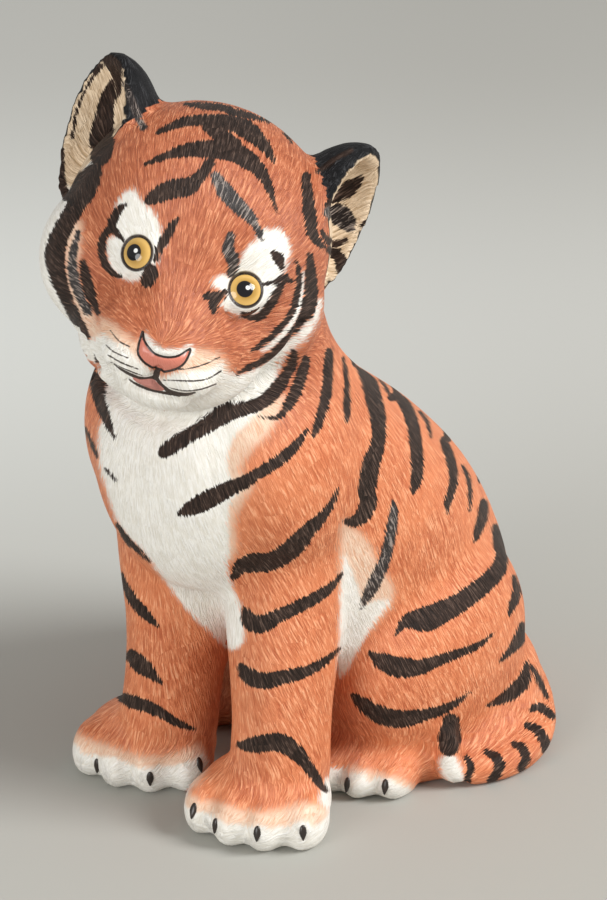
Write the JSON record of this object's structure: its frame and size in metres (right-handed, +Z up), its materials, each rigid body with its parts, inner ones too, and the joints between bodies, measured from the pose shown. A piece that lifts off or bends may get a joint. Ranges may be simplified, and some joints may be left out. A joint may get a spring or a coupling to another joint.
{
  "type": "tiger figurine",
  "caption": "Seated tiger cub figurine in hand-painted porcelain, head turned and tilted, tail curled round its left side, with a flat sole.",
  "frame": {"origin": "on the ground, under the middle of the outer box", "axes": "+Z up, the cub's chest faces -Y and its left side is +X"},
  "size_m": [0.1056, 0.145, 0.19],
  "materials": {
    "painted_porcelain": "satin bisque porcelain, hand-painted in orange, black and white"
  },
  "bodies": {
    "root": {"tiger_figurine": "painted_porcelain"}
  },
  "joints": []
}
